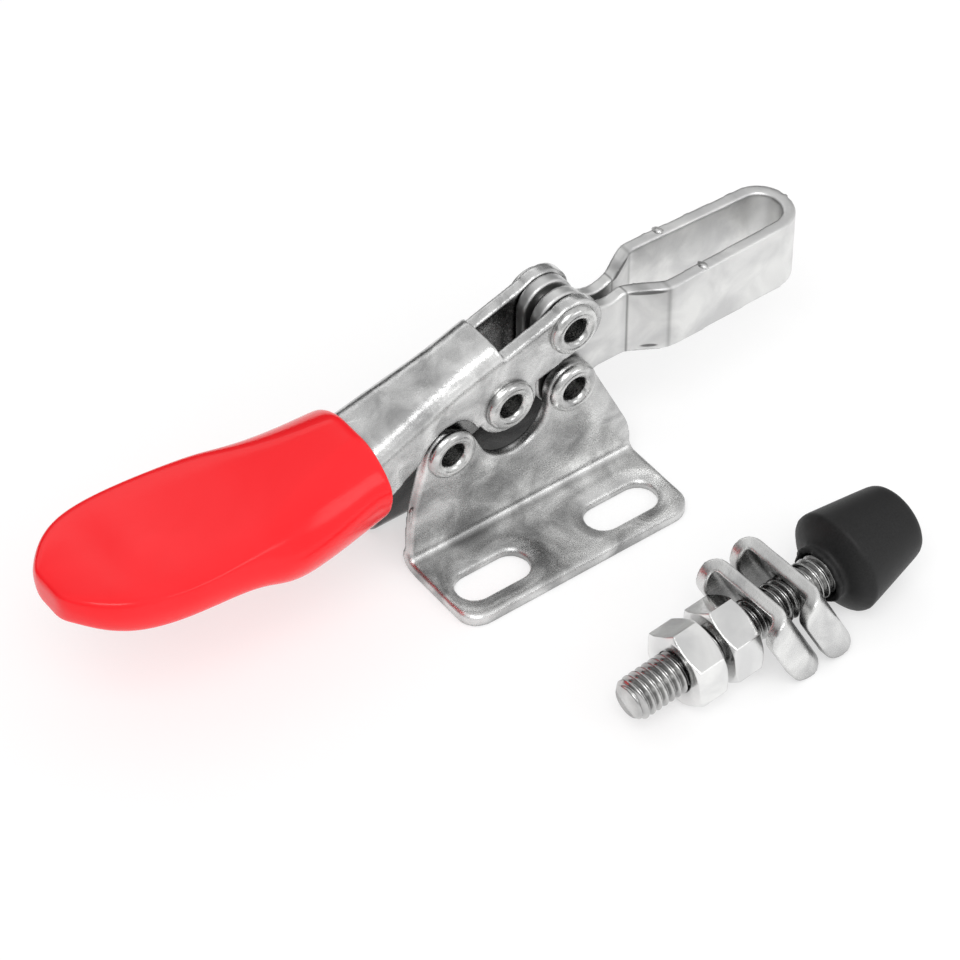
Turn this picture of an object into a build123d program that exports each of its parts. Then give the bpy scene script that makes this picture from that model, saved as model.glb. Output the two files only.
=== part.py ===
from build123d import *
import os
from math import acos, asin, atan2, copysign, cos, degrees, hypot, radians, sin, sqrt, tan

# Small horizontal hold-down toggle clamp, shown locked, in millimetres.
# Origin: middle of the base underside. +X points along the arm, +Z up, -Y is the near side.
# Side views are drawn in (x, z) and pushed through in y.

# ---------------------------------------------------------------- driving sizes
# pivots of the four-bar linkage, side view
rear_pin = (-7.57, 11.80)      # base to link
link_pin = (-1.32, 13.99)      # link to handle
front_pin = (5.49, 12.24)      # base to arm
arm_pin = (5.53, 19.03)        # arm to handle

# coupled travel
arm_travel = 90.0              # bar swings from level to upright
handle_ratio = 1.915           # handle turns this much on the arm for each degree of the bar
link_ratio = 0.745             # link turns this much on the base for each degree of the bar

# base: two pressed angle plates
base_length = 24.5
base_reach = 12.35             # middle plane to the flange's outer edge
base_sheet = 1.2
base_half = 3.12               # middle plane to the outer face of the upright wall
base_bend = 0.7                # inside bend radius
flange_corner = 2.0
wall_left = -11.85
wall_right = 12.25
rear_lobe = 2.5
front_lobe = 2.45
flank_run = 0.7                # how far the flank beside the rear lobe leans
saddle_floor = 7.9             # lowest point of the saddle between the lobes
left_knee = 5.2                # height where each end of the wall begins to lean in
right_knee = 3.6
sweep_share = 0.9              # part of the upright edge that the rounding takes up
lobe_bite = 1.82               # rear lobe trimmed under its rivet head, where the handle passes

slot_pitch_x = 14.12
slot_pitch_y = 16.8
slot_width = 3.5
slot_centres = 3.92            # between the two end-arc centres of one slot

# rivets: hollow end rolled over on the near side, low head on the far side
shank = 1.45
rim_outer = 2.4
rim_height = 0.75
bore = 1.2
bore_depth = 3.4
head_radius = 2.35
head_height = 0.85
running = 0.05                 # radial clearance of a turning hole
pass_by = 0.12                 # clearance of a face that sweeps past another

# handle pressing
handle_half = 3.08
handle_sheet = 1.35
front_eye = 2.92               # eye round the arm pin
front_eye_shift = (0.3, -0.22) # its centre from the pin's
rear_eye = 3.1                 # eye round the link pin
front_relief = 3.5             # hollow that clears the front lobe
rear_relief = 3.15             # hollow that clears the rear lobe
top_point = (-3.26, 20.39)     # a point on the channel's top line
top_slope = 17.9
shoulder = 1.9                 # outside bend radius of the channel
bridge_x = -2.2                # front edge of the bridge
prong_drop = 1.55              # prongs stand this much below the bridge
skirt_slope = 30.7             # underside of the channel towards the grip
skirt_angle = 160.0            # where the underside leaves the rear hollow
heel = (-19.5, 15.25)          # top line turns here
tang_end = (-43.0, 16.2)
skirt_end = (-18.5, 9.9)
skirt_fade = (-29.0, 14.0)
flare_start = -6.0             # the channel widens from here back to the grip
flared_half = 3.8              # its half width at the grip's mouth
tang_half = 4.6
tang_start = -24.0

# arm: one strip folded into a slotted bar
arm_sheet = 1.2
ear_gap = 0.8                  # between the two ears
ear_radius = 2.7
bar_gap = 4.9                  # slot for the spindle
strip_height = 7.05
arm_tilt = 1.8
strip_corner = (12.5, 11.25)   # lower edge at the first fold
fold_x = 12.6
flare_x = 16.0
fold_bend = 2.2
arm_tip = 31.5
bar_taper = 0.9                # the far leg closes in by this much towards the tip
tip_round = 0.95               # roundness of the tip, 1 for a full half circle
neck_x = 9.4
neck_dip = (9.95, 18.0)        # lowest point of the hollow behind the ears
neck_start = 20.0              # where the hollow leaves the upper ear

# link
hub_radius = 2.4
hub_half = 1.6
horn_reach = 5.1
horn_drop = 1.35
horn_tip = 0.62
blade_half = 0.3               # the hooked blade runs between the arm's ears
hook_radius = 2.5

# grip: dipped sleeve; a section is its share of the way to the tip, half width, underside, top
grip_mouth = -15.4
grip_tip = -46.0
grip_fullness = 2.35           # 2 gives elliptical sections, more gives squarer ones
mouth_section = (0.0, 5.5, 8.1, 17.2)
throat_section = (0.135, 6.4, 8.7, 16.7)
belly_section = (0.28, 7.4, 9.3, 16.3)
waist_section = (0.43, 7.85, 10.6, 16.6)
paddle_section = (0.575, 7.7, 11.7, 17.05)
palm_section = (0.72, 7.55, 12.3, 17.25)
round_section = (0.855, 6.5, 12.8, 17.35)
end_section = (0.95, 4.3, 13.4, 17.35)
tip_section = (1.0, 1.9, 14.3, 16.7)

# spindle set lying beside the base
thread_radius = 2.0
free_end = (-8.45, -29.05)     # plan place of the stud's free end
spindle_lift = 0.02            # cone rim and nut corner stand this far above the ground
spindle_yaw = 2.6
nut_places = (5.15, 9.1)       # stations along the stud
washer_places = (15.2, 18.95)
rubber_start = 22.4
stud_socket = 4.6              # length of stud inside the rubber
end_chamfer = 0.4
nut_flats = 6.7
nut_height = 3.1
nut_turn = 5.0                 # from a level flat
cone_large = 4.9
cone_small = 3.55
cone_length = 7.3
cone_band = 0.5                # straight part of the wide rim
cone_nose = 1.4                # rounding of the small end
cone_yaw = 5.0                 # the cone is moulded a little askew on the stud
cone_pitch = 2.0
collar_radius = 2.5
collar_length = 0.5
flank_length = 1.3             # from the collar out to the wide rim
washer_sheet = 1.2
washer_gap = 7.6               # between its two flanges, fits over the bar
washer_height = 9.6
washer_flange = 3.1
washer_rounding = 0.7          # share of the flange that its end rounding takes
washer_bore = 2.85             # clears the stud while the washer leans
washer_bend = 0.5              # inside bend radius
washer_lean = 24.0
washer_play = (-0.3, 0.26)     # the washers stand on the ground, to one side and high on the stud


# ---------------------------------------------------------------- helpers
def across(face, y_from, y_to):
    """Prism of a side-view face between two y planes."""
    return Pos(0, y_to, 0) * extrude(Plane.XZ * face, amount=y_to - y_from)


def disc(centre, radius):
    return Pos(centre[0], centre[1]) * Circle(radius)


def both_sides(near):
    """A near-side solid and its mirror image on the far side."""
    return near, mirror(near, about=Plane.XZ)


def on_circle(centre, radius, angle):
    return (centre[0] + radius * cos(radians(angle)), centre[1] + radius * sin(radians(angle)))


def tangent_point(outside, centre, radius, turn):
    """Where the line from a point touches a circle; turn +1 or -1 picks the side."""
    dx, dz = outside[0] - centre[0], outside[1] - centre[1]
    half = degrees(acos(radius / hypot(dx, dz)))
    return on_circle(centre, radius, degrees(atan2(dz, dx)) + turn * half)


def crossing_tangent(first, first_radius, second, second_radius, turn):
    """Ends of the line that touches two circles on opposite sides."""
    dx, dz = second[0] - first[0], second[1] - first[1]
    half = degrees(acos((first_radius + second_radius) / hypot(dx, dz)))
    toward = degrees(atan2(dz, dx)) + turn * half
    return on_circle(first, first_radius, toward), on_circle(second, second_radius, toward + 180)


def turned(point, centre, angle):
    """A side-view point turned about a centre."""
    dx, dz = point[0] - centre[0], point[1] - centre[1]
    c, s = cos(radians(angle)), sin(radians(angle))
    return (centre[0] + dx * c - dz * s, centre[1] + dx * s + dz * c)


def capsule(first, second, radius):
    """Side-view track of a disc that moves from one point to another."""
    dx, dz = second[0] - first[0], second[1] - first[1]
    middle = ((first[0] + second[0]) / 2, (first[1] + second[1]) / 2)
    return Pos(*middle) * Rot(0, 0, degrees(atan2(dz, dx))) * SlotCenterToCenter(hypot(dx, dz), 2 * radius)


# ---------------------------------------------------------------- base
def saddle_circle():
    """Round floor of the saddle: it ends at the front lobe and leaves the flank its run."""
    left = rear_pin[0] + rear_lobe + flank_run
    right = front_pin[0] - front_lobe
    radius = (right - left) / 2
    return (right - radius, saddle_floor + radius), radius


def swept_edge(foot, knee, end):
    """Upright edge that rounds over into a leaning one."""
    lean = atan2(abs(end[0] - knee[0]), end[1] - knee[1])
    radius = sweep_share * (knee[1] - foot[1]) * cos(lean / 2) / sin(lean / 2)
    return FilletPolyline(foot, knee, end, radius=radius)


def base_outline():
    """Side view of the upright wall: rear lobe, saddle, front lobe and swept ends."""
    saddle, saddle_radius = saddle_circle()
    left_knee_point = (wall_left, left_knee)
    right_knee_point = (wall_right, right_knee)
    rear_start = tangent_point(left_knee_point, rear_pin, rear_lobe, -1)
    rear_end, saddle_start = crossing_tangent(rear_pin, rear_lobe, saddle, saddle_radius, 1)
    front_start, saddle_end = crossing_tangent(front_pin, front_lobe, saddle, saddle_radius, -1)
    front_end = tangent_point(right_knee_point, front_pin, front_lobe, 1)
    half = base_length / 2
    foot = base_sheet + base_bend
    left_edge = swept_edge((wall_left, foot), left_knee_point, rear_start)
    right_edge = swept_edge((wall_right, foot), right_knee_point, front_end)
    rear_top = on_circle(rear_pin, rear_lobe, 90)
    front_top = on_circle(front_pin, front_lobe, 90)
    floor = on_circle(saddle, saddle_radius, 270)
    edges = [left_edge, ThreePointArc(rear_start, rear_top, rear_end), Line(rear_end, saddle_start),
             ThreePointArc(saddle_start, floor, saddle_end), Line(saddle_end, front_start),
             ThreePointArc(front_start, front_top, front_end), right_edge,
             Polyline((wall_right, foot), (half, base_sheet), (half, 0), (-half, 0),
                      (-half, base_sheet), (wall_left, foot))]
    return make_face(Curve() + edges)


def base_plate():
    """One angle plate: the upright wall and the slotted foot, bent from one sheet."""
    half = base_length / 2
    outer, inner = -base_half, -base_half + base_sheet
    bend_outer = base_bend + base_sheet
    section = make_face(Curve() + [
        Line((-base_reach, 0), (inner - bend_outer, 0)),
        RadiusArc((inner - bend_outer, 0), (inner, bend_outer), -bend_outer),
        Line((inner, bend_outer), (inner, arm_pin[1])),
        Line((inner, arm_pin[1]), (outer, arm_pin[1])),
        Line((outer, arm_pin[1]), (outer, bend_outer)),
        RadiusArc((outer, bend_outer), (outer - base_bend, base_sheet), base_bend),
        Line((outer - base_bend, base_sheet), (-base_reach, base_sheet)),
        Line((-base_reach, base_sheet), (-base_reach, 0))])
    blank = Pos(half, 0, 0) * extrude(Plane.YZ * section, amount=-base_length)
    plate = blank & across(base_outline(), -base_reach, inner)
    corners = plate.edges().filter_by(Axis.Z).group_by(Axis.Y)[0]
    plate = fillet(corners, flange_corner)
    slot = SlotCenterToCenter(slot_centres, slot_width)
    for side in (-1, 1):
        plate -= Pos(side * slot_pitch_x / 2, -slot_pitch_y / 2, 0) * extrude(slot, amount=base_sheet)
    for pin in (rear_pin, front_pin):
        plate -= across(disc(pin, shank), outer, inner)
    return plate - across(eye_track_on_base(), outer, inner)


def eye_track_on_base():
    """What the handle's rear eye sweeps over the rear lobe, down to the lobe's trimmed edge."""
    tracks = Sketch()
    steps = 12
    places = [rear_eye_place(arm_travel * (0.5 * i / steps)) for i in range(steps + 1)]
    for first, second in zip(places, places[1:]):
        tracks += capsule(first, second, rear_eye + pass_by)
    window = disc(rear_pin, rim_outer + 1) - disc(rear_pin, lobe_bite)
    return tracks & window


def rear_eye_place(arm_angle):
    """Centre of the handle's rear eye when the bar stands at an angle."""
    pivot = turned(arm_pin, front_pin, arm_angle)
    offset = (pivot[0] + link_pin[0] - arm_pin[0], pivot[1] + link_pin[1] - arm_pin[1])
    return turned(offset, pivot, arm_angle * (1 - handle_ratio))


# ---------------------------------------------------------------- rivets
def rivet(pin, wall_half):
    """Semi-tubular rivet: rolled rim on the near side, low head on the far side."""
    roll = (rim_outer - bore) / 2
    floor = wall_half - bore_depth
    crown_start = -wall_half - head_height / 4
    crown_rise = head_height * 3 / 4
    crown_radius = (head_radius ** 2 + crown_rise ** 2) / (2 * crown_rise)
    crown_centre = (0, -wall_half - head_height + crown_radius)
    crown_middle = on_circle(crown_centre, crown_radius, degrees(asin(head_radius / crown_radius)) / 2 - 90)
    profile = make_face(Curve() + [
        Polyline((0, floor), (bore, floor), (bore, wall_half)),
        ThreePointArc((bore, wall_half), (bore + roll, wall_half + rim_height), (rim_outer, wall_half)),
        Polyline((rim_outer, wall_half), (shank, wall_half), (shank, -wall_half),
                 (head_radius, -wall_half), (head_radius, crown_start)),
        ThreePointArc((head_radius, crown_start), crown_middle, (0, -wall_half - head_height)),
        Line((0, -wall_half - head_height), (0, floor))])
    body = revolve(Plane.XY * profile, Axis.Y, 360)
    return Pos(pin[0], 0, pin[1]) * Rot(180, 0, 0) * body


# ---------------------------------------------------------------- handle
def top_line(x):
    """Height of the channel's top line."""
    return top_point[1] + (x - top_point[0]) * sin(radians(top_slope)) / cos(radians(top_slope))


def below_top(x, drop):
    """A point under the channel's top line, measured square to it."""
    slope = radians(top_slope)
    return (x + drop * sin(slope), top_line(x) - drop * cos(slope))


def front_eye_centre():
    return (arm_pin[0] + front_eye_shift[0], arm_pin[1] + front_eye_shift[1])


def tang_top(x):
    """Height of the tang's upper face, which carries on from the heel."""
    return heel[1] + (x - heel[0]) * (tang_end[1] - heel[1]) / (tang_end[0] - heel[0])


def handle_outline():
    """Side view of the pressing: two eyes, two hollows, channel and tang."""
    eyes = disc(link_pin, rear_eye) + disc(front_eye_centre(), front_eye)
    leave = on_circle(rear_pin, rear_relief, skirt_angle)
    fall = sin(radians(skirt_slope)) / cos(radians(skirt_slope))
    skirt_low = (skirt_end[0] + 3.5, leave[1] - (leave[0] - skirt_end[0] - 3.5) * fall)
    fade_top = (skirt_fade[0], tang_top(skirt_fade[0]))
    front_top = (arm_pin[0] - front_eye / 2, top_line(arm_pin[0] - front_eye / 2))
    eye_low = on_circle(front_eye_centre(), front_eye, -60)
    body = make_face(Polyline(
        front_top, arm_pin, eye_low, link_pin, rear_pin, leave, skirt_low, skirt_end, skirt_fade,
        fade_top, heel, front_top))
    return eyes + body - disc(front_pin, front_relief) - disc(rear_pin, rear_relief)


def flare(x):
    """How much wider each side of the channel stands at a station; it ends at the tang."""
    growth = (flared_half - handle_half) / (flare_start - grip_mouth)
    return max(0.0, flare_start - max(x, tang_start)) * growth


def channel_block(half, drop, round_over):
    """Long block under the top line with its two upper edges rounded, wider towards the grip."""
    deep = 2 * front_relief + 4 * rear_eye
    lower = drop / cos(radians(top_slope))
    sections = []
    for x in (arm_pin[0] + 2 * front_eye, flare_start, tang_start, tang_end[0]):
        top = Plane(origin=(x, 0, top_line(x) - lower), x_dir=(0, 1, 0), z_dir=(1, 0, 0))
        sections.append(top * Pos(0, -deep / 2) * RectangleRounded(2 * (half + flare(x)), deep, round_over))
    return loft(sections, ruled=True)


def tail_block(half, height):
    """Upright block behind the heel with the same flare in plan."""
    start, end = half + flare(heel[0]), half + flare(tang_start)
    plan = make_face(Polyline((heel[0], start), (tang_start, end), (tang_end[0], end), (tang_end[0], -end),
                              (tang_start, -end), (heel[0], -start), (heel[0], start)))
    return extrude(plan, amount=height)


def handle_pressing():
    """Inverted channel with two prongs at the front and a tang inside the grip."""
    inner_half = handle_half - handle_sheet
    widest = handle_half + flare(tang_end[0])
    far = arm_pin[0] + 2 * front_eye
    head = top_line(far) + front_eye
    blank = across(handle_outline(), -widest, widest)
    shell = channel_block(handle_half, 0, shoulder) + tail_block(handle_half, head)
    ahead_of_heel = Pos(heel[0] + 2 * base_length, 0, 0) * Box(4 * base_length, 2 * widest, 4 * head)
    hollow = channel_block(inner_half, handle_sheet, shoulder - handle_sheet) & ahead_of_heel
    tail = make_face(Polyline((heel[0], heel[1] - handle_sheet), (tang_end[0], tang_end[1] - handle_sheet),
                              (tang_end[0], 0), (heel[0], 0), (heel[0], heel[1] - handle_sheet)))
    blank = (blank & shell) - hollow - (across(tail, -widest, widest) & tail_block(inner_half, head))
    corner = (bridge_x, top_line(bridge_x))
    foot = below_top(bridge_x, prong_drop)
    front = below_top(far, prong_drop)
    above = make_face(Polyline(corner, foot, front, (front[0], head + front_eye),
                               (bridge_x - 1, head + front_eye), corner))
    eye = across(disc(front_eye_centre(), front_eye), -handle_half, handle_half)
    blank -= across(above, -handle_half, handle_half) - eye
    between = make_face(Polyline(corner, foot, (foot[0], 0), (far, 0), (far, head + front_eye),
                                 (bridge_x - 1, head + front_eye), corner))
    blank -= across(between, -inner_half, inner_half)
    for pin in (link_pin, arm_pin):
        blank -= across(disc(pin, shank), -handle_half, handle_half)
    return blank + tang()


def tang():
    """Flat tongue that carries the grip."""
    start_top = tang_top(tang_start)
    side = make_face(Polyline((tang_start, start_top), tang_end, (tang_end[0], tang_end[1] - handle_sheet),
                              (tang_start, start_top - handle_sheet), (tang_start, start_top)))
    plate = across(side, -tang_half, tang_half)
    ends = plate.edges().group_by(Axis.X)[0].filter_by(Axis.Z)
    front = plate.edges().group_by(Axis.X)[-1].filter_by(Axis.Z)
    return fillet(ends + front, tang_half * 0.6)


def grip_section(share, half_width, low, high):
    """One cross-section of the grip, between an ellipse and a rounded rectangle."""
    x = grip_mouth + share * (grip_tip - grip_mouth)
    middle, half_height = (low + high) / 2, (high - low) / 2
    count = 16
    points = []
    for i in range(count):
        across_part, up_part = cos(radians(360 * i / count)), sin(radians(360 * i / count))
        y = copysign(half_width * abs(across_part) ** (2 / grip_fullness), across_part)
        z = copysign(half_height * abs(up_part) ** (2 / grip_fullness), up_part)
        points.append((x, y, middle + z))
    return make_face(Spline(*points, periodic=True))


def grip():
    """Soft dipped sleeve, narrow and deep at the mouth, wide and flat at the tip."""
    sections = [mouth_section, throat_section, belly_section, waist_section, paddle_section,
                palm_section, round_section, end_section, tip_section]
    body = loft([grip_section(*section) for section in sections])
    return body - handle_pressing()


# ---------------------------------------------------------------- arm
def arm_outline():
    """Side view of the folded strip: two eyes, a neck and the level bar."""
    along = (cos(radians(arm_tilt)), sin(radians(arm_tilt)))
    length = arm_tip + 1 - strip_corner[0]
    low_end = (strip_corner[0] + length * along[0], strip_corner[1] + length * along[1])
    high_start = (strip_corner[0] - strip_height * along[1], strip_corner[1] + strip_height * along[0])
    high_end = (low_end[0] - strip_height * along[1], low_end[1] + strip_height * along[0])
    top_touch = on_circle(arm_pin, ear_radius, neck_start)
    neck = (neck_x, strip_corner[1])
    low_touch = tangent_point(neck, front_pin, ear_radius, -1)
    web = make_face(Curve() + [
        Line(arm_pin, top_touch), ThreePointArc(top_touch, neck_dip, high_start),
        Polyline(high_start, high_end, low_end, strip_corner, neck, low_touch, front_pin, arm_pin)])
    return capsule(front_pin, arm_pin, ear_radius) + web


def arm_path():
    """Plan view of the strip's middle line: ear, fold, bar, round end and back."""
    ear_y = (ear_gap + arm_sheet) / 2
    bar_y = (bar_gap + arm_sheet) / 2
    tip_x = arm_tip - arm_sheet / 2
    start_x = min(front_pin[0], arm_pin[0]) - ear_radius - 1
    tip_bend = tip_round * (bar_y - bar_taper / 2)
    return FilletPolyline((start_x, -ear_y), (fold_x, -ear_y), (flare_x, -bar_y), (tip_x, -bar_y),
                          (tip_x, bar_y - bar_taper), (flare_x, bar_y), (fold_x, ear_y), (start_x, ear_y),
                          radius=[fold_bend, fold_bend, tip_bend, tip_bend, fold_bend, fold_bend])


def arm():
    """Slotted bar folded from one strip, with its two ears side by side."""
    path = arm_path()
    tall = arm_pin[1] + 2 * ear_radius
    start = path @ 0
    section = Plane(origin=(start.X, start.Y, tall / 2), x_dir=(0, 1, 0), z_dir=(1, 0, 0))
    strip = sweep(section * Rectangle(arm_sheet, tall), path)
    reach = bar_gap / 2 + arm_sheet + 1
    body = strip & across(arm_outline(), -reach, reach)
    for pin in (front_pin, arm_pin):
        body -= across(disc(pin, shank + running), -reach, reach)
    return body


# ---------------------------------------------------------------- link
def link():
    """Hub on the rear rivet with a horn towards the link pin, cut clear of the pin's track."""
    along = degrees(atan2(link_pin[1] - rear_pin[1], link_pin[0] - rear_pin[0]))
    tip = turned((rear_pin[0] + horn_reach, rear_pin[1] - horn_drop), rear_pin, along)
    hub = disc(rear_pin, hub_radius)
    horn = make_hull((hub + disc(tip, horn_tip)).edges())
    hook = make_hull((disc(rear_pin, hub_radius / 2) + disc(link_pin, hook_radius)).edges())
    path = Sketch()
    steps = 18
    track = []
    for i in range(steps + 1):
        angle = arm_travel * i / steps
        track.append(turned(rear_eye_place(angle), rear_pin, -link_ratio * angle))
    for first, second in zip(track, track[1:]):
        path += capsule(first, second, shank + pass_by)
    over = turned((rear_pin[0] + 3 * horn_reach, rear_pin[1]), rear_pin, along)
    above = turned((rear_pin[0] + 3 * horn_reach, rear_pin[1] + 3 * horn_reach), rear_pin, along)
    behind = turned((rear_pin[0], rear_pin[1] + 3 * horn_reach), rear_pin, along)
    hook -= make_face(Polyline(rear_pin, over, above, behind, rear_pin)) - disc(rear_pin, hub_radius)
    body = across(horn - path, -hub_half, hub_half) + across(hook - path, -blade_half, blade_half)
    return body - across(disc(rear_pin, shank + running), -hub_half, hub_half)


# ---------------------------------------------------------------- spindle set
def spindle_rest():
    """Height of the stud's free end and its tilt, resting on the first nut and the cone's rim."""
    near_station = nut_places[0]
    near_height = nut_flats / sqrt(3) * cos(radians(nut_turn))
    rim_station = rubber_start + collar_length + flank_length + cone_band / 2
    tilt = asin((cone_large - near_height) / (rim_station - near_station))
    return near_height - near_station * sin(tilt) + spindle_lift, degrees(tilt)


def laid_down(solid):
    """Moves a piece drawn along +X onto the ground beside the base."""
    height, tilt = spindle_rest()
    return Pos(free_end[0], free_end[1], height) * Rot(0, 0, spindle_yaw) * Rot(0, -tilt, 0) * solid


def rod(radius, start, end):
    return Pos(start, 0, 0) * extrude(Plane.YZ * Circle(radius), amount=end - start)


def spindle():
    """Threaded stud, chamfered at its free end."""
    stud = rod(thread_radius, 0, rubber_start + stud_socket)
    return laid_down(chamfer(stud.edges().group_by(Axis.X)[0], end_chamfer))


def rubber_tip():
    """Rubber cone with a short collar, moulded on the stud."""
    flank = rubber_start + collar_length
    wide = flank + flank_length
    end = wide + cone_length
    profile = make_face(Polyline((rubber_start, 0), (rubber_start, collar_radius), (flank, collar_radius),
                                 (wide, cone_large), (wide + cone_band, cone_large), (end, cone_small),
                                 (end, 0), (rubber_start, 0)))
    body = revolve(Plane.XY * profile, Axis.X, 360)
    rims = body.edges().filter_by(GeomType.CIRCLE).group_by(Axis.X)
    body = fillet(rims[-1], cone_nose)
    askew = Pos(wide, 0, 0) * Rot(0, 0, cone_yaw) * Rot(0, -cone_pitch, 0) * Pos(-wide, 0, 0) * body
    return laid_down(askew - rod(thread_radius, 0, rubber_start + stud_socket))


def nut(start):
    """Hexagon nut with chamfered corners."""
    hexagon = Plane.YZ * RegularPolygon(nut_flats / 2, 6, major_radius=False, rotation=30 - nut_turn)
    body = Pos(start, 0, 0) * extrude(hexagon, amount=nut_height)
    corner = nut_flats / sqrt(3)
    bevel = (corner - nut_flats / 2) * tan(radians(30))
    end = start + nut_height
    cone = make_face(Polyline((start, 0), (start, nut_flats / 2), (start + bevel, corner),
                              (end - bevel, corner), (end, nut_flats / 2), (end, 0), (start, 0)))
    body &= revolve(Plane.XY * cone, Axis.X, 360)
    return laid_down(body - rod(thread_radius, start, end))


def washer(place):
    """Saddle washer: a strip bent into two rounded flanges, leaning on the stud."""
    half = (washer_gap + washer_sheet) / 2
    tip = -washer_flange + washer_sheet / 2
    path = FilletPolyline((tip, -half), (0, -half), (0, half), (tip, half),
                          radius=washer_bend + washer_sheet / 2)
    start = path @ 0
    section = Plane(origin=(start.X, start.Y, 0), x_dir=(0, 1, 0), z_dir=(1, 0, 0))
    strip = sweep(section * Rectangle(washer_sheet, washer_height), path)
    side = RectangleRounded(4 * washer_flange, washer_height, washer_flange * washer_rounding)
    strip &= across(Pos(tip + 2 * washer_flange, 0) * side, -2 * half, 2 * half)
    strip -= rod(washer_bore, -washer_sheet, washer_sheet)
    return laid_down(Pos(place, washer_play[0], washer_play[1]) * Rot(0, -washer_lean, 0) * strip)


# ---------------------------------------------------------------- files
os.makedirs("parts", exist_ok=True)
near_plate, far_plate = both_sides(base_plate())
nodes = {
    "base_plate_near": near_plate,
    "base_plate_far": far_plate,
    "rivet_rear": rivet(rear_pin, base_half),
    "rivet_front": rivet(front_pin, base_half),
    "rivet_link": rivet(link_pin, handle_half),
    "rivet_arm": rivet(arm_pin, handle_half),
    "handle_pressing": handle_pressing(),
    "grip": grip(),
    "arm": arm(),
    "link": link(),
    "spindle_stud": spindle(),
    "rubber_tip": rubber_tip(),
    "nut_outer": nut(nut_places[0]),
    "nut_inner": nut(nut_places[1]),
    "flanged_washer_outer": washer(washer_places[0]),
    "flanged_washer_inner": washer(washer_places[1]),
}
for name, piece in nodes.items():
    export_step(piece.solid(), "parts/" + name + ".step")
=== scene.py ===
from math import cos, radians, sin, tau

import bpy
from mathutils import Matrix, Vector, noise


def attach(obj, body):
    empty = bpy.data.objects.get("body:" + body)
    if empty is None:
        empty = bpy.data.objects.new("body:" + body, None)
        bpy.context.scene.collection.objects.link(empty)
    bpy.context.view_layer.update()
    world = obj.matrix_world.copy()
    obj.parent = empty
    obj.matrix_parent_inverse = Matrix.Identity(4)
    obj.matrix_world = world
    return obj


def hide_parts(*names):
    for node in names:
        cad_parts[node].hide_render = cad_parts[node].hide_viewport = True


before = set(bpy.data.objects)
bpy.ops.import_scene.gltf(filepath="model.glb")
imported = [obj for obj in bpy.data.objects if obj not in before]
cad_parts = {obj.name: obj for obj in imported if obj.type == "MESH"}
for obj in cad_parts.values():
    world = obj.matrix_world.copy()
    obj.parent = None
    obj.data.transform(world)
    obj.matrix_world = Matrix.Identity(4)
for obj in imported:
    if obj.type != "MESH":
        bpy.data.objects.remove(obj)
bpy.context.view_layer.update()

mm = 0.001
print("frame loaded")

# camera, floor and light

cameraSetup = {
    "azimuth": -36.27,
    "elevation": 44.88,
    "roll": -0.335,
    "distance": 0.3457,
    "aim": (-0.0017, 0.00065, 0.00202),
    "lens": 146.5,
    "clip": (0.01, 10),
}


def makeCamera(setup):
    azimuth, elevation, roll = (radians(setup[k]) for k in ("azimuth", "elevation", "roll"))
    back = Vector((sin(azimuth) * cos(elevation), -cos(azimuth) * cos(elevation), sin(elevation)))
    level = Vector((cos(azimuth), sin(azimuth), 0))
    upright = back.cross(level)
    right = level * cos(roll) + upright * sin(roll)
    up = back.cross(right)
    data = bpy.data.cameras.new("studioCamera")
    data.lens = setup["lens"]
    data.clip_start, data.clip_end = setup["clip"]
    camera = bpy.data.objects.new("studioCamera", data)
    turn = Matrix((right, up, back)).transposed().to_4x4()
    camera.matrix_world = Matrix.Translation(Vector(setup["aim"]) + back * setup["distance"]) @ turn
    bpy.context.scene.collection.objects.link(camera)
    bpy.context.scene.camera = camera


studio = {
    "floorWhite": 0.44,
    "floorGlow": 0.58,                # keeps the paper white beside the part
    "floorRoughness": 0.9,
    "floorShine": 0.1,
    "floorReach": 1.6,
    "skyStrength": 0.72,
    "skyDark": 0.1,
    "skyGrey": 0.5,
    "skyBright": 1.15,
    "skyStops": (0.32, 0.6, 1.0),     # where dark, grey and bright stand on the ramp
    "skyLean": (0.2, -0.5, 0.85),
    "skyPatch": 2.2,                  # scale of the tent's bright and dark patches
    "skyPatchDetail": 1.5,
    "skyPatchShare": 0.9,
    "lightAim": (0, 0, 0.01),
    # name, place, size, power
    "lights": [
        ("keySoftbox", (-0.3, -0.35, 0.75), (0.5, 0.4), 2.6),
        ("sideSoftbox", (0.34, -0.58, 0.46), (0.34, 0.26), 0.5),
        ("backSoftbox", (0.1, 0.65, 0.5), (0.6, 0.25), 0.4),
    ],
}


def makeLight(name, place, size, power, target):
    data = bpy.data.lights.new(name, "AREA")
    data.shape = "RECTANGLE"
    data.size, data.size_y = size
    data.energy = power
    lamp = bpy.data.objects.new(name, data)
    lamp.location = place
    lamp.rotation_mode = "QUATERNION"
    lamp.rotation_quaternion = (Vector(target) - Vector(place)).to_track_quat("-Z", "Y")
    bpy.context.scene.collection.objects.link(lamp)


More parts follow.
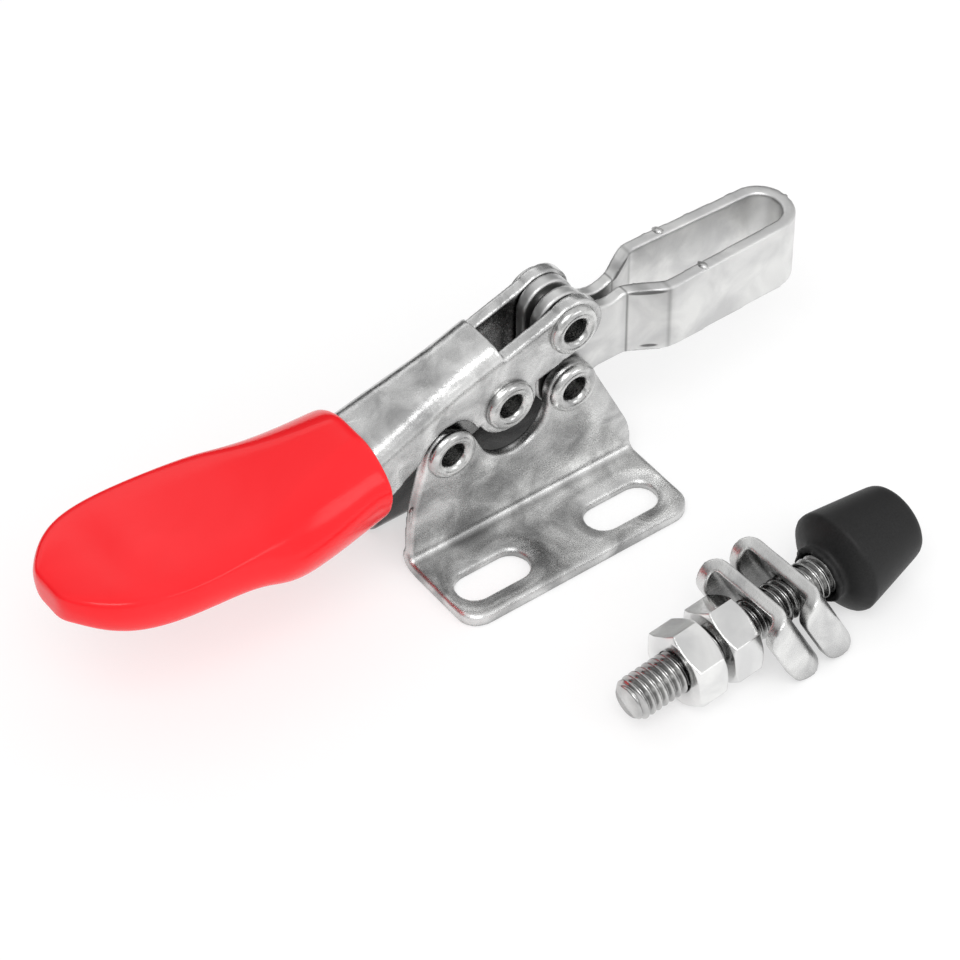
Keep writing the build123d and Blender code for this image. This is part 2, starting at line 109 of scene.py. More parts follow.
def makeSky(setup):
    world = bpy.data.worlds.new("softTent")
    world.use_nodes = True
    bpy.context.scene.world = world
    tree = world.node_tree
    tree.nodes.clear()
    out = tree.nodes.new("ShaderNodeOutputWorld")
    glow = tree.nodes.new("ShaderNodeBackground")
    glow.inputs["Strength"].default_value = setup["skyStrength"]
    way = tree.nodes.new("ShaderNodeTexCoord")
    lean = tree.nodes.new("ShaderNodeVectorMath")
    lean.operation = "DOT_PRODUCT"
    lean.inputs[1].default_value = setup["skyLean"]
    patches = tree.nodes.new("ShaderNodeTexNoise")
    patches.inputs["Scale"].default_value = setup["skyPatch"]
    patches.inputs["Detail"].default_value = setup["skyPatchDetail"]
    blend = tree.nodes.new("ShaderNodeMath")
    blend.operation = "MULTIPLY_ADD"
    blend.inputs[1].default_value = setup["skyPatchShare"]
    ramp = tree.nodes.new("ShaderNodeValToRGB")
    stops = ramp.color_ramp.elements
    darkStop, greyStop, brightStop = setup["skyStops"]
    stops[0].position, stops[0].color = darkStop, (setup["skyDark"],) * 3 + (1,)
    stops[1].position, stops[1].color = brightStop, (setup["skyBright"],) * 3 + (1,)
    stops.new(greyStop).color = (setup["skyGrey"],) * 3 + (1,)
    tree.links.new(way.outputs["Generated"], lean.inputs[0])
    tree.links.new(way.outputs["Generated"], patches.inputs["Vector"])
    tree.links.new(patches.outputs["Fac"], blend.inputs[0])
    tree.links.new(lean.outputs["Value"], blend.inputs[2])
    tree.links.new(blend.outputs["Value"], ramp.inputs["Fac"])
    tree.links.new(ramp.outputs["Color"], glow.inputs["Color"])
    tree.links.new(glow.outputs["Background"], out.inputs["Surface"])


def makeFloor(setup):
    mesh = bpy.data.meshes.new("floor")
    reach = setup["floorReach"]
    corners = [(-reach, -reach, 0), (reach, -reach, 0), (reach, reach, 0), (-reach, reach, 0)]
    mesh.from_pydata(corners, [], [(0, 1, 2, 3)])
    floor = bpy.data.objects.new("floor", mesh)
    bpy.context.scene.collection.objects.link(floor)
    paper = bpy.data.materials.new("floorPaper")
    paper.use_nodes = True
    shader = paper.node_tree.nodes["Principled BSDF"]
    shader.inputs["Base Color"].default_value = (setup["floorWhite"],) * 3 + (1,)
    shader.inputs["Roughness"].default_value = setup["floorRoughness"]
    shader.inputs["Specular IOR Level"].default_value = setup["floorShine"]
    shader.inputs["Emission Color"].default_value = (1, 1, 1, 1)
    shader.inputs["Emission Strength"].default_value = setup["floorGlow"]
    mesh.materials.append(paper)


makeCamera(cameraSetup)
makeSky(studio)
makeFloor(studio)
for name, place, size, power in studio["lights"]:
    makeLight(name, place, size, power, studio["lightAim"])
bpy.context.scene.view_settings.view_transform = "Standard"
print("studio ready")

# shader groups that several finishes share


def startGroup(name, ins, outs):
    group = bpy.data.node_groups.new(name, "ShaderNodeTree")
    for label, kind, value in ins:
        socket = group.interface.new_socket(name=label, in_out="INPUT", socket_type=kind)
        socket.default_value = value
    for label, kind in outs:
        group.interface.new_socket(name=label, in_out="OUTPUT", socket_type=kind)
    return group, group.nodes.new("NodeGroupInput"), group.nodes.new("NodeGroupOutput")


def setOrLink(tree, socket, value):
    if isinstance(value, bpy.types.NodeSocket):
        tree.links.new(value, socket)
    else:
        socket.default_value = value


def mathNode(tree, operation, first, second, clamp=False):
    node = tree.nodes.new("ShaderNodeMath")
    node.operation = operation
    node.use_clamp = clamp
    setOrLink(tree, node.inputs[0], first)
    setOrLink(tree, node.inputs[1], second)
    return node.outputs[0]


def noiseNode(tree, where, scale, detail=3, roughness=0.5, distortion=0.0):
    node = tree.nodes.new("ShaderNodeTexNoise")
    tree.links.new(where, node.inputs["Vector"])
    values = {"Scale": scale, "Detail": detail, "Roughness": roughness, "Distortion": distortion}
    for label, value in values.items():
        setOrLink(tree, node.inputs[label], value)
    return node.outputs["Fac"]


grainNoise = {
    "detail": 3,
    "cloudRoughness": 0.5,
    "cloudDistortion": 0.6,
    "pitRoughness": 0.6,
}


def buildTumbledGrain(noiseSetup):
    group, put, get = startGroup(
        "tumbledGrain",
        [
            ("Cloud Scale", "NodeSocketFloat", 260.0),
            ("Pit Scale", "NodeSocketFloat", 5200.0),
            ("Pit Share", "NodeSocketFloat", 0.1),
        ],
        [("Cloud", "NodeSocketFloat"), ("Pits", "NodeSocketFloat"), ("Height", "NodeSocketFloat")],
    )
    place = group.nodes.new("ShaderNodeTexCoord").outputs["Object"]
    detail = noiseSetup["detail"]
    cloud = noiseNode(group, place, put.outputs["Cloud Scale"], detail, noiseSetup["cloudRoughness"],
                      noiseSetup["cloudDistortion"])
    pits = noiseNode(group, place, put.outputs["Pit Scale"], detail, noiseSetup["pitRoughness"])
    height = mathNode(group, "ADD", cloud, mathNode(group, "MULTIPLY", pits, put.outputs["Pit Share"]))
    group.links.new(cloud, get.inputs["Cloud"])
    group.links.new(pits, get.inputs["Pits"])
    group.links.new(height, get.inputs["Height"])
    return group


bevelSamples = 6
shelterSamples = 8


def buildRolledEdge():
    group, put, get = startGroup(
        "rolledEdge",
        [("Radius", "NodeSocketFloat", 0.00025), ("Gain", "NodeSocketFloat", 3.0)],
        [("Mask", "NodeSocketFloat"), ("Normal", "NodeSocketVector")],
    )
    bevel = group.nodes.new("ShaderNodeBevel")
    bevel.samples = bevelSamples
    group.links.new(put.outputs["Radius"], bevel.inputs["Radius"])
    flat = group.nodes.new("ShaderNodeNewGeometry")
    dot = group.nodes.new("ShaderNodeVectorMath")
    dot.operation = "DOT_PRODUCT"
    group.links.new(bevel.outputs["Normal"], dot.inputs[0])
    group.links.new(flat.outputs["Normal"], dot.inputs[1])
    turned = mathNode(group, "SUBTRACT", 1.0, dot.outputs["Value"])
    group.links.new(mathNode(group, "MULTIPLY", turned, put.outputs["Gain"], True), get.inputs["Mask"])
    group.links.new(bevel.outputs["Normal"], get.inputs["Normal"])
    return group


# painted shade: a mask of how closed in a point is, for darkening crevices and hollows where shade falls
def buildCreviceShade():
    group, put, get = startGroup(
        "creviceShade",
        [("Reach", "NodeSocketFloat", 0.0012), ("Power", "NodeSocketFloat", 1.5)],
        [("Mask", "NodeSocketFloat")],
    )
    sheltered = group.nodes.new("ShaderNodeAmbientOcclusion")
    sheltered.samples = shelterSamples
    group.links.new(put.outputs["Reach"], sheltered.inputs["Distance"])
    closed = mathNode(group, "SUBTRACT", 1.0, sheltered.outputs["AO"])
    group.links.new(mathNode(group, "POWER", closed, put.outputs["Power"], True), get.inputs["Mask"])
    return group


grainGroup = buildTumbledGrain(grainNoise)
edgeGroup = buildRolledEdge()
paintedShadeGroup = buildCreviceShade()


def placeGroup(tree, group, **values):
    node = tree.nodes.new("ShaderNodeGroup")
    node.node_tree = group
    for label, value in values.items():
        node.inputs[label.replace("_", " ")].default_value = value
    return node


def startMaterial(name):
    material = bpy.data.materials.new(name)
    material.use_nodes = True
    return material, material.node_tree, material.node_tree.nodes["Principled BSDF"]


def mixColor(tree, mask, first, second):
    node = tree.nodes.new("ShaderNodeMix")
    node.data_type = "RGBA"
    tree.links.new(mask, node.inputs[0])
    for socket, value in ((node.inputs[6], first), (node.inputs[7], second)):
        setOrLink(tree, socket, value if isinstance(value, bpy.types.NodeSocket) else (*value, 1))
    return node.outputs[2]


def spread(tree, value, low, high, toLow, toHigh):
    node = tree.nodes.new("ShaderNodeMapRange")
    tree.links.new(value, node.inputs["Value"])
    numbers = {"From Min": low, "From Max": high, "To Min": toLow, "To Max": toHigh}
    for label, number in numbers.items():
        node.inputs[label].default_value = number
    return node.outputs["Result"]


def bumpNode(tree, height, strength, distance, normal=None):
    node = tree.nodes.new("ShaderNodeBump")
    node.inputs["Strength"].default_value = strength
    node.inputs["Distance"].default_value = distance
    tree.links.new(height, node.inputs["Height"])
    if normal is not None:
        tree.links.new(normal, node.inputs["Normal"])
    return node.outputs["Normal"]


# steel finishes

plateLook = {
    "dark": (0.3, 0.3, 0.3),
    "light": (0.74, 0.74, 0.735),
    "worn": (0.92, 0.92, 0.91),      # rubbed edges
    "paintedShade": (0.03, 0.03, 0.03),     # painted shade, laid in the joints between pieces and the hollows where shade falls
    "paintedShadeReach": 0.003,
    "paintedShadePower": 2.4,
    "roughness": (0.2, 0.36),
    "cloudScale": 230.0,
    "cloudSpan": (0.35, 0.65),       # part of the noise that runs from dark to light
    "pitScale": 5200.0,
    "pitSpan": (0.3, 0.7),
    "edgeRadius": 0.0006,
    "edgeGain": 2.0,
    "wave": 0.4,
    "waveDepth": 0.0003,
}
baseLook = {
    **plateLook,
    "inside": (2.0, 2.35, 0.88),     # painted shade of the gap: fades out between these mm off the middle plane; how dark
}


def gapShadeMask(tree, inside):
    # painted shade on the faces that look at the middle plane, the dark gap between the two plates
    start, end, strength = inside
    place = tree.nodes.new("ShaderNodeSeparateXYZ")
    tree.links.new(tree.nodes.new("ShaderNodeTexCoord").outputs["Object"], place.inputs["Vector"])
    away = mathNode(tree, "ABSOLUTE", place.outputs["Y"], 0.0)
    return spread(tree, away, start * mm, end * mm, strength, 0.0)


def foldShadeMask(tree, look):
    # painted shade in the fold lines across the strip and in the coined hollows beside them, as one mask
    place = tree.nodes.new("ShaderNodeSeparateXYZ")
    tree.links.new(tree.nodes.new("ShaderNodeTexCoord").outputs["Object"], place.inputs["Vector"])
    mask = 0.0
    coinCore, coinStrength = look["coinFade"]
    for station, half, strength in look["creases"]:
        away = mathNode(tree, "ABSOLUTE", mathNode(tree, "SUBTRACT", place.outputs["X"], station * mm), 0.0)
        mask = mathNode(tree, "MAXIMUM", spread(tree, away, 0.0, half * mm, strength, 0.0), mask)
    for station, height, long, tall in look["coins"]:
        across = mathNode(tree, "DIVIDE", mathNode(tree, "SUBTRACT", place.outputs["X"], station * mm), long * mm)
        upward = mathNode(tree, "DIVIDE", mathNode(tree, "SUBTRACT", place.outputs["Z"], height * mm), tall * mm)
        away = mathNode(tree, "ADD", mathNode(tree, "POWER", across, 2.0), mathNode(tree, "POWER", upward, 2.0))
        mask = mathNode(tree, "MAXIMUM", spread(tree, away, coinCore, 1.0, coinStrength, 0.0), mask)
    return mask


def steelFinish(name, look):
    material, tree, shader = startMaterial(name)
    grain = placeGroup(tree, grainGroup, Cloud_Scale=look["cloudScale"], Pit_Scale=look["pitScale"])
    edge = placeGroup(tree, edgeGroup, Radius=look["edgeRadius"], Gain=look["edgeGain"])
    paintedShade = placeGroup(tree, paintedShadeGroup, Reach=look["paintedShadeReach"], Power=look["paintedShadePower"])
    shade = spread(tree, grain.outputs["Cloud"], *look["cloudSpan"], 0, 1)
    sheet = mixColor(tree, shade, look["dark"], look["light"])
    rubbed = mixColor(tree, edge.outputs["Mask"], sheet, look["worn"])
    # painted shade on the plates' faces towards the middle plane
    if "inside" in look:
        rubbed = mixColor(tree, gapShadeMask(tree, look["inside"]), rubbed, look["paintedShade"])
    # painted shade in the arm's folds and coined hollows
    if "creases" in look:
        rubbed = mixColor(tree, foldShadeMask(tree, look), rubbed, look["paintedShade"])
    # painted shade: the colour runs to near-black where the occlusion mask finds crevices and hollows
    tree.links.new(mixColor(tree, paintedShade.outputs["Mask"], rubbed, look["paintedShade"]), shader.inputs["Base Color"])
    dull = spread(tree, grain.outputs["Pits"], *look["pitSpan"], *look["roughness"])
    tree.links.new(dull, shader.inputs["Roughness"])
    normal = bumpNode(tree, grain.outputs["Height"], look["wave"], look["waveDepth"], edge.outputs["Normal"])
    tree.links.new(normal, shader.inputs["Normal"])
    shader.inputs["Metallic"].default_value = 1.0
    return material


handleLook = {
    **plateLook, "dark": (0.44, 0.44, 0.44), "light": (0.8, 0.8, 0.795),
    "roughness": (0.18, 0.32), "cloudScale": 300.0, "edgeRadius": 0.0003,
    # the wide reach lets the painted shade fill the handle's channel
    "paintedShadeReach": 0.006, "paintedShadePower": 1.7,
}
armLook = {
    **plateLook, "dark": (0.6, 0.6, 0.6), "light": (0.8, 0.8, 0.79),
    "roughness": (0.3, 0.46), "wave": 0.3, "edgeRadius": 0.00035,
    # creases and coins: where the painted shade of the folds and coined hollows lies
    "creases": [(12.55, 0.16, 0.6), (15.85, 0.3, 0.3)],               # station, half width, strength
    "coins": [(14.1, 18.12, 1.75, 0.26), (14.3, 11.9, 0.75, 0.2)],    # station, height, half length, half height
    "coinFade": (0.45, 0.75),                                         # full inside this share; how dark
}
# the link's steel is painted darker all over: painted shade for the gap between the plates where it sits
linkLook = {
    **plateLook, "dark": (0.26, 0.26, 0.26), "light": (0.5, 0.5, 0.495),
    "edgeRadius": 0.0002, "paintedShadeReach": 0.002, "paintedShadePower": 1.6,
}
rivetLook = {
    **plateLook, "dark": (0.42, 0.42, 0.42), "light": (0.74, 0.74, 0.73),
    "roughness": (0.18, 0.32), "wave": 0.25, "edgeRadius": 0.0001,
    "paintedShadeReach": 0.0007, "paintedShadePower": 1.5, "cloudScale": 500.0,
}
nutLook = {
    **plateLook, "dark": (0.7, 0.7, 0.7), "light": (0.88, 0.88, 0.87),
    "roughness": (0.1, 0.22), "wave": 0.15, "edgeRadius": 0.0002,
    "paintedShadeReach": 0.001, "paintedShadePower": 1.6,
}
studLook = {
    **plateLook, "dark": (0.4, 0.4, 0.4), "light": (0.68, 0.68, 0.67),
    "roughness": (0.16, 0.28), "wave": 0.15, "edgeRadius": 0.00005,
    "paintedShadeReach": 0.0009, "paintedShadePower": 1.3,
}
washerLook = {
    **plateLook, "dark": (0.58, 0.58, 0.58), "light": (0.82, 0.82, 0.81),
    "roughness": (0.22, 0.36), "edgeRadius": 0.0003, "paintedShadeReach": 0.0035, "paintedShadePower": 1.5,
}
plateSteel = steelFinish("plateSteel", baseLook)
handleSteel = steelFinish("handleSteel", handleLook)
armSteel = steelFinish("armSteel", armLook)
linkSteel = steelFinish("linkSteel", linkLook)
rivetSteel = steelFinish("rivetSteel", rivetLook)
nutSteel = steelFinish("nutSteel", nutLook)
studSteel = steelFinish("studSteel", studLook)
washerSteel = steelFinish("washerSteel", washerLook)
print("steel finishes made")


vinylLook = {
    "colors": ((0.92, 0.01, 0.016), (0.96, 0.016, 0.023)),
    "cloudScale": 110.0,
    "pitScale": 2600.0,
    "span": (0.3, 0.7),
    "roughness": (0.13, 0.2),
    "wave": 0.12,
    "waveDepth": 0.0002,
    "shine": 0.3,
}


def dippedVinyl(look):
    material, tree, shader = startMaterial("dippedVinyl")
    grain = placeGroup(tree, grainGroup, Cloud_Scale=look["cloudScale"], Pit_Scale=look["pitScale"])
    shade = spread(tree, grain.outputs["Cloud"], *look["span"], 0, 1)
    tree.links.new(mixColor(tree, shade, *look["colors"]), shader.inputs["Base Color"])
    dull = spread(tree, grain.outputs["Pits"], *look["span"], *look["roughness"])
    tree.links.new(dull, shader.inputs["Roughness"])
    normal = bumpNode(tree, grain.outputs["Height"], look["wave"], look["waveDepth"])
    tree.links.new(normal, shader.inputs["Normal"])
    shader.inputs["Specular IOR Level"].default_value = look["shine"]
    return material


rubberLook = {
    "colors": ((0.008, 0.008, 0.0083), (0.018, 0.018, 0.0183)),
    "worn": (0.06, 0.06, 0.06),
    "cloudScale": 400.0,
    "pitScale": 6500.0,
    "span": (0.3, 0.7),
    "edgeRadius": 0.0003,
    "edgeGain": 2.5,
    "roughness": (0.42, 0.58),
    "wave": 0.3,
    "waveDepth": 0.00008,
    "shine": 0.25,
}


def mouldedRubber(look):
    material, tree, shader = startMaterial("mouldedRubber")
    grain = placeGroup(tree, grainGroup, Cloud_Scale=look["cloudScale"], Pit_Scale=look["pitScale"])
    edge = placeGroup(tree, edgeGroup, Radius=look["edgeRadius"], Gain=look["edgeGain"])
    shade = spread(tree, grain.outputs["Pits"], *look["span"], 0, 1)
    body = mixColor(tree, shade, *look["colors"])
    tree.links.new(mixColor(tree, edge.outputs["Mask"], body, look["worn"]), shader.inputs["Base Color"])
    dull = spread(tree, grain.outputs["Pits"], *look["span"], *look["roughness"])
    tree.links.new(dull, shader.inputs["Roughness"])
    normal = bumpNode(tree, grain.outputs["Height"], look["wave"], look["waveDepth"], edge.outputs["Normal"])
    tree.links.new(normal, shader.inputs["Normal"])
    shader.inputs["Specular IOR Level"].default_value = look["shine"]
    return material


finishes = {
    "base_plate_near": plateSteel, "base_plate_far": plateSteel, "arm": armSteel, "handle_pressing": handleSteel,
    "link": linkSteel, "rivet_rear": rivetSteel, "rivet_front": rivetSteel, "rivet_link": rivetSteel,
    "rivet_arm": rivetSteel, "spindle_stud": studSteel, "nut_outer": nutSteel, "nut_inner": nutSteel,
    "flanged_washer_outer": washerSteel, "flanged_washer_inner": washerSteel,
    "grip": dippedVinyl(vinylLook), "rubber_tip": mouldedRubber(rubberLook),
}
for node, finish in finishes.items():
    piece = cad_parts[node]
    for socket in piece.material_slots:
        socket.material = finish
print("finishes placed")

# the pressings' sheet edges are rolled over by the die, not sharp

edgeRolling = {
    # fineness of the new skin in mm, passes of smoothing
    "base_plate_near": (0.14, 16), "base_plate_far": (0.16, 14), "handle_pressing": (0.15, 9), "arm": (0.14, 5),
    "link": (0.14, 5), "flanged_washer_outer": (0.11, 8), "flanged_washer_inner": (0.11, 8),
}
seamReach = 0.002 * mm
rollFactor = 0.5

slotDish = {
    "pitchX": 14.12,     # between the two slots of a foot
    "pitchY": 16.8,      # between the slots of the two feet
    "centres": 3.92,
    "width": 3.5,
    "reach": 1.7,        # how far round a slot the punch drew the sheet down
    "depth": 0.36,
    "above": 0.6,        # only the foot's upper skin sinks
}


def buildSlotDish(shape):
    tree = bpy.data.node_groups.new("slotDish", "GeometryNodeTree")
    tree.interface.new_socket(name="Geometry", in_out="INPUT", socket_type="NodeSocketGeometry")
    tree.interface.new_socket(name="Geometry", in_out="OUTPUT", socket_type="NodeSocketGeometry")
    put, get = tree.nodes.new("NodeGroupInput"), tree.nodes.new("NodeGroupOutput")
    place = tree.nodes.new("ShaderNodeSeparateXYZ")
    tree.links.new(tree.nodes.new("GeometryNodeInputPosition").outputs["Position"], place.inputs["Vector"])

    def beyond(value, half):
        return mathNode(tree, "SUBTRACT", mathNode(tree, "ABSOLUTE", value, 0.0), half * mm)

    pastCentre = beyond(beyond(place.outputs["X"], shape["pitchX"] / 2), shape["centres"] / 2)
    along = mathNode(tree, "MAXIMUM", pastCentre, 0.0)
    across = beyond(place.outputs["Y"], shape["pitchY"] / 2)
    acrossSquare = mathNode(tree, "MULTIPLY", across, across)
    square = mathNode(tree, "ADD", mathNode(tree, "POWER", along, 2.0), acrossSquare)
    away = mathNode(tree, "SUBTRACT", mathNode(tree, "SQRT", square, 0.0), shape["width"] / 2 * mm)
    sunk = spread(tree, away, 0.0, shape["reach"] * mm, -shape["depth"] * mm, 0.0)
    sunk.node.interpolation_type = "SMOOTHSTEP"
    upper = mathNode(tree, "GREATER_THAN", place.outputs["Z"], shape["above"] * mm)
    shift = tree.nodes.new("ShaderNodeCombineXYZ")
    tree.links.new(mathNode(tree, "MULTIPLY", sunk, upper), shift.inputs["Z"])
    move = tree.nodes.new("GeometryNodeSetPosition")
    tree.links.new(put.outputs["Geometry"], move.inputs["Geometry"])
    tree.links.new(shift.outputs["Vector"], move.inputs["Offset"])
    tree.links.new(move.outputs["Geometry"], get.inputs["Geometry"])
    return tree


dishTree = buildSlotDish(slotDish)


def rollEdges(piece, fineness, passes):
    piece.modifiers.new("joinSeams", "WELD").merge_threshold = seamReach
    skin = piece.modifiers.new("evenSkin", "REMESH")
    skin.mode, skin.voxel_size, skin.use_smooth_shade = "VOXEL", fineness * mm, True
    if piece.name.startswith("base_plate"):
        piece.modifiers.new("dishSlots", "NODES").node_group = dishTree
    rolled = piece.modifiers.new("rollEdge", "SMOOTH")
    rolled.factor, rolled.iterations = rollFactor, passes


for node, (fineness, passes) in edgeRolling.items():
    rollEdges(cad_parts[node], fineness, passes)
print("edges rolled")


def makePiece(name, points, faces, material, body, replaced=None):
    mesh = bpy.data.meshes.new(name)
    mesh.from_pydata(points, [], faces)
    mesh.materials.append(material)
    for face in mesh.polygons:
        face.use_smooth = True
    mesh.update()
    piece = bpy.data.objects.new(name, mesh)
    bpy.context.scene.collection.objects.link(piece)
    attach(piece, body)
    if replaced:
        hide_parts(replaced)
    return piece


def joinRings(rings, sides):
    faces = []
    for ring in range(rings - 1):
        for side in range(sides):
            turn = (side + 1) % sides
            low, high = ring * sides, (ring + 1) * sides
            faces.append((low + side, low + turn, high + turn, high + side))
    return faces


def leaning(start, yaw, tilt):
    # a frame at start whose x axis turns by yaw and rises by tilt, in degrees
    return (Matrix.Translation(start) @ Matrix.Rotation(radians(yaw), 4, "Z")
            @ Matrix.Rotation(-radians(tilt), 4, "Y"))


def capEnds(faces, front, back, last, sides):
    for side in range(sides):
        turn = (side + 1) % sides
        faces.append((front, turn, side))
        faces.append((back, last + side, last + turn))


# threaded stud

studShape = {
    "freeEnd": (-8.45, -29.05, 3.594),   # mm
    "tilt": 3.108,
    "yaw": 2.6,
    "length": 24.5,
    "outer": 2.0,
    "pitch": 0.7,
    "depth": 0.42,
    "endFlat": 1.5,                      # radius of the cut end
    "endSlope": 0.9,
    "crest": 0.14,                       # share of the flank left flat at the crest
    "flank": 0.74,
    "sides": 56,
    "stepsPerTurn": 12,
}


def makeStud(shape):
    sides, pitch = shape["sides"], shape["pitch"]
    place = leaning(Vector(shape["freeEnd"]), shape["yaw"], shape["tilt"])
    steps = int(shape["length"] / pitch * shape["stepsPerTurn"])
    points = []
    for step in range(steps + 1):
        along = step * pitch / shape["stepsPerTurn"]
        for side in range(sides):
            phase = (along / pitch - side / sides) % 1.0
            slope = abs(2 * phase - 1)                       # 0 on the crest, 1 in the root
            cut = min(1.0, max(0.0, (slope - shape["crest"]) / shape["flank"]))
            radius = shape["outer"] - shape["depth"] * cut
            radius = min(radius, shape["endFlat"] + along * shape["endSlope"])
            angle = tau * side / sides
            points.append(place @ Vector((along, radius * cos(angle), radius * sin(angle))) * mm)
    faces = joinRings(steps + 1, sides)
    points.append(place @ Vector((0.0, 0, 0)) * mm)
    points.append(place @ Vector((shape["length"], 0, 0)) * mm)
    front, back = len(points) - 2, len(points) - 1
    capEnds(faces, front, back, steps * sides, sides)
    return makePiece("stud_thread", points, faces, studSteel, "base", "spindle_stud")


makeStud(studShape)
print("stud threaded")

# dipped grip: rings of control points, smoothed by subdivision

gripShape = {
    # station, flat half width, top, widest half width, its height, floor half width, underside
    "rings": [
        (-15.4, 2.16, 16.79, 6.21, 13.16, 3.46, 9.95),
        (-16.0, 1.71, 17.48, 5.76, 13.81, 2.91, 8.41),
        (-20.0, 2.73, 16.9, 6.53, 12.84, 3.33, 8.37),
        (-24.0, 4.21, 16.45, 7.31, 12.47, 3.61, 8.55),
        (-26.6, 5.7, 16.21, 7.7, 12.66, 4.3, 9.5),
        (-28.6, 6.27, 16.21, 7.47, 13.1, 4.97, 10.81),
        (-30.5, 6.57, 16.24, 7.37, 13.62, 5.87, 11.8),
        (-33.5, 6.87, 16.31, 7.37, 14.26, 6.37, 12.29),
        (-37.5, 6.83, 16.55, 7.33, 14.85, 6.33, 12.53),
        (-41.0, 6.03, 17.02, 6.63, 15.24, 5.53, 12.82),
        (-43.5, 4.57, 17.13, 5.27, 15.4, 4.27, 13.52),
        (-45.2, 2.64, 17.05, 3.34, 15.57, 2.44, 14.05),
        (-45.9, 1.6, 16.87, 2.1, 15.73, 1.4, 13.91),
    ],
    # the mouth's inner wall, from the lip inwards
    "inner": [
        (-15.4, 2.0, 16.7, 4.1, 14.2, 3.6, 9.8),
        (-16.2, 1.9, 16.5, 4.1, 14.0, 3.6, 9.8),
        (-19.0, 1.8, 15.6, 4.1, 13.5, 3.6, 9.8),
    ],
    "smoothing": 3,
}


# shares that place the control points of one ring between its named sizes
gripSection = {
    "middle": 0.5,
    "shoulderOut": 0.5,
    "shoulderDrop": 0.22,
    "above": 0.3,
    "below": 0.15,
    "hipOut": 0.75,
    "hipRise": 0.3,
}


def gripRing(x, flatHalf, top, wideHalf, wideHeight, floorHalf, low):
    share = gripSection
    drop, rise = top - wideHeight, wideHeight - low
    reach = wideHalf - flatHalf
    half = [
        (flatHalf * share["middle"], top),
        (flatHalf, top),
        (flatHalf + reach * share["shoulderOut"], top - drop * share["shoulderDrop"]),
        (wideHalf, wideHeight + drop * share["above"]),
        (wideHalf, wideHeight - rise * share["below"]),
        (floorHalf + (wideHalf - floorHalf) * share["hipOut"], low + rise * share["hipRise"]),
        (floorHalf, low),
        (floorHalf * share["middle"], low),
    ]
    ring = [(x, 0, top)] + [(x, -y, z) for y, z in half] + [(x, 0, low)] + [(x, y, z) for y, z in reversed(half)]
    return [Vector(point) * mm for point in ring]


def makeGrip(shape):
    rings = [gripRing(*row) for row in [*reversed(shape["inner"]), *shape["rings"]]]
    sides = len(rings[0])
    points = [point for ring in rings for point in ring]
    faces = joinRings(len(rings), sides)
    middles = [sum(ring, Vector()) / sides for ring in (rings[0], rings[-1])]
    points += middles
    capEnds(faces, len(points) - 2, len(points) - 1, (len(rings) - 1) * sides, sides)
    grip = makePiece("grip_sleeve", points, faces, finishes["grip"], "handle", "grip")
    smooth = grip.modifiers.new("smooth", "SUBSURF")
    smooth.levels = smooth.render_levels = shape["smoothing"]
    return grip


makeGrip(gripShape)
print("grip dipped")

# moulded rubber tip, turned about its own axis, with a torn lip round the stud

tipShape = {
    "start": 21.6,               # along the stud
    "yaw": 5.0,
    "pitch": 3.2,
    "drop": -0.02,
    # distance along the axis, radius, raggedness
    "profile": [
        (0.75, 1.95, 0.0), (-0.2, 2.12, 0.1), (-0.35, 2.45, 0.22), (-0.1, 2.78, 0.2),
        (0.35, 2.62, 0.08), (0.62, 2.66, 0.03), (0.85, 3.15, 0.0), (1.25, 4.05, 0.0),
        (1.7, 4.68, 0.03), (1.95, 4.88, 0.06), (2.15, 4.87, 0.04), (2.6, 4.8, 0.0),
        (5.2, 4.32, 0.0), (8.2, 3.76, 0.0), (8.85, 3.62, 0.0), (9.25, 3.3, 0.0),
        (9.42, 2.6, 0.0), (9.46, 1.2, 0.0),
    ],
    "tears": ((4.0, 1.0), (11.0, 0.6)),     # how fine, how strong
    "sides": 96,
    "smoothing": 1,
}


def makeTip(stud, shape):
    turn = leaning(Vector(), stud["yaw"], stud["tilt"])
    start = Vector(stud["freeEnd"]) + turn @ Vector((shape["start"], 0, 0)) + Vector((0, 0, shape["drop"]))
    place = leaning(start, shape["yaw"], shape["pitch"])
    sides, points = shape["sides"], []
    for along, radius, ragged in shape["profile"]:
        for side in range(sides):
            angle = tau * side / sides
            spot = Vector((cos(angle), sin(angle), along))
            tear = sum(strong * noise.noise(spot * fine) for fine, strong in shape["tears"])
            reach = radius + ragged * tear
            points.append(place @ Vector((along - ragged * tear, reach * cos(angle), reach * sin(angle))) * mm)
    faces = joinRings(len(shape["profile"]), sides)
    last = (len(shape["profile"]) - 1) * sides
    points.append(place @ Vector((shape["profile"][-1][0], 0, 0)) * mm)
    faces += [(len(points) - 1, last + side, last + (side + 1) % sides) for side in range(sides)]
    tip = makePiece("rubber_cone", points, faces, finishes["rubber_tip"], "base", "rubber_tip")
    smooth = tip.modifiers.new("smooth", "SUBSURF")
    smooth.levels = smooth.render_levels = shape["smoothing"]


makeTip(studShape, tipShape)
print("rubber tip moulded")

# small upset nibs on the arm's top edges

nibShape = {
    "places": [(19.9, -3.02, 18.5), (19.6, 2.98, 18.5)],
    "half": (0.42, 0.6, 0.15),
    "roughness": 0.35,
    "roughScale": 2,
    "rows": 5,
    "sides": 14,
}


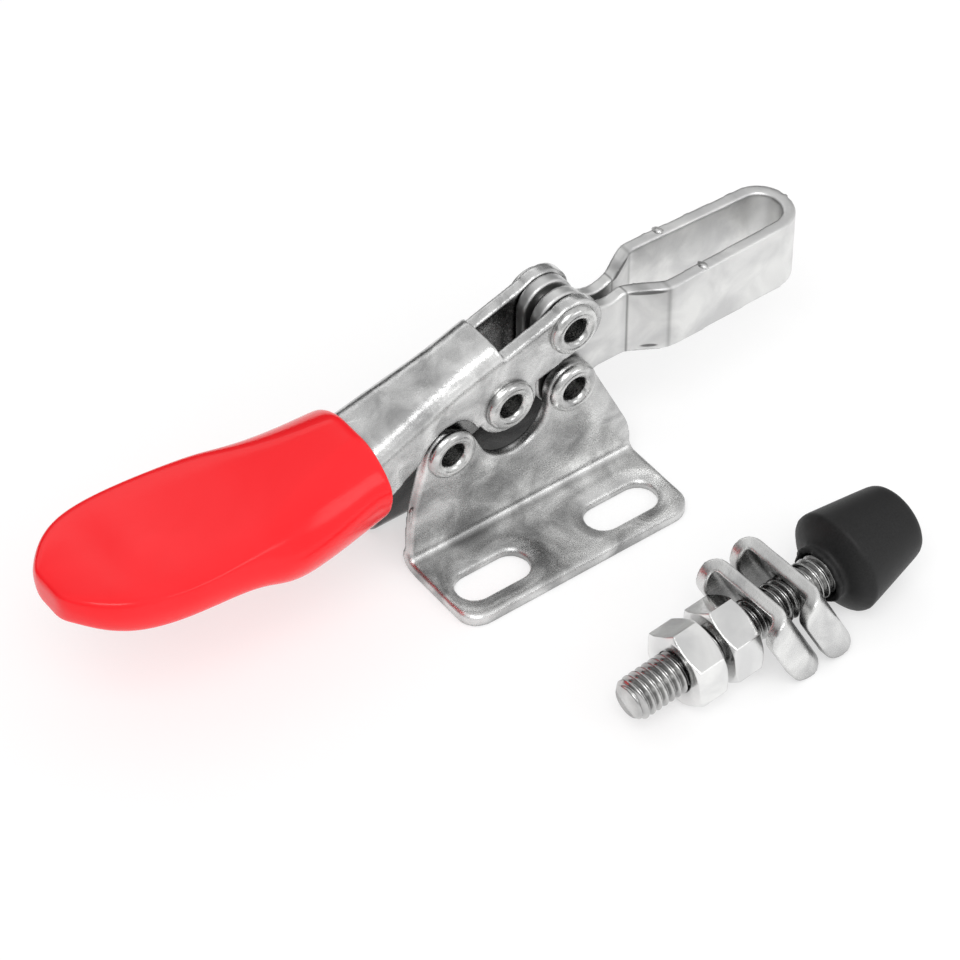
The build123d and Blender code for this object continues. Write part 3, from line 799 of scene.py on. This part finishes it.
def makeNib(name, place, shape):
    long, wide, tall = shape["half"]
    rows, sides, points = shape["rows"], shape["sides"], []
    for row in range(rows):
        level = radians(90 * row / rows)
        for side in range(sides):
            angle = tau * side / sides
            rough = 1 + shape["roughness"] * noise.noise(Vector((angle * shape["roughScale"], row, place[1])))
            along = long * cos(level) * cos(angle) * rough
            across = wide * cos(level) * sin(angle) * rough
            points.append((Vector(place) + Vector((along, across, tall * sin(level)))) * mm)
    faces = joinRings(rows, sides)
    points.append((Vector(place) + Vector((0, 0, tall))) * mm)
    last = (rows - 1) * sides
    faces += [(len(points) - 1, last + side, last + (side + 1) % sides) for side in range(sides)]
    faces.append(tuple(reversed(range(sides))))
    makePiece(name, points, faces, armSteel, "arm")


for side, place in zip(("near", "far"), nibShape["places"]):
    makeNib("arm_nib_" + side, place, nibShape)
print("nibs raised")

# torn burr on the near plate's rear edge

burrShape = {
    "low": (-11.62, -2.75, 4.9),
    "high": (-11.36, -2.55, 7.0),
    "steps": 9,
    "reach": 0.75,       # how far it sticks out behind
    "thick": 0.28,
    "taper": 0.5,
    "rooted": 0.15,      # how far its root goes into the plate
    "curl": (-0.3, 0.2),
    "bulge": 2.6,
    "tooth": (0.55, 0.45, 0.15),                 # mean, swing, least
    "toothNoise": (6.0, 0.3, 0.7),
}


def makeBurr(shape):
    low, high = Vector(shape["low"]), Vector(shape["high"])
    mean, swing, least = shape["tooth"]
    fine, noiseY, noiseZ = shape["toothNoise"]
    sideways, upward = shape["curl"]
    points = []
    for step in range(shape["steps"]):
        share = step / (shape["steps"] - 1)
        root = low.lerp(high, share)
        tooth = mean + swing * noise.noise(Vector((share * fine, noiseY, noiseZ)))
        out = shape["reach"] * sin(share * shape["bulge"]) * max(least, tooth)
        thick = shape["thick"] * (1 - shape["taper"] * share)
        points += [
            root + Vector((shape["rooted"], -thick, 0)),
            root + Vector((-out, sideways * out, upward * out)),
            root + Vector((shape["rooted"], thick, 0)),
        ]
    faces = joinRings(shape["steps"], 3)
    faces += [(2, 1, 0), tuple(range(len(points) - 3, len(points)))]
    makePiece("plate_burr", [point * mm for point in points], faces, plateSteel, "base")


makeBurr(burrShape)
print("burr raised")
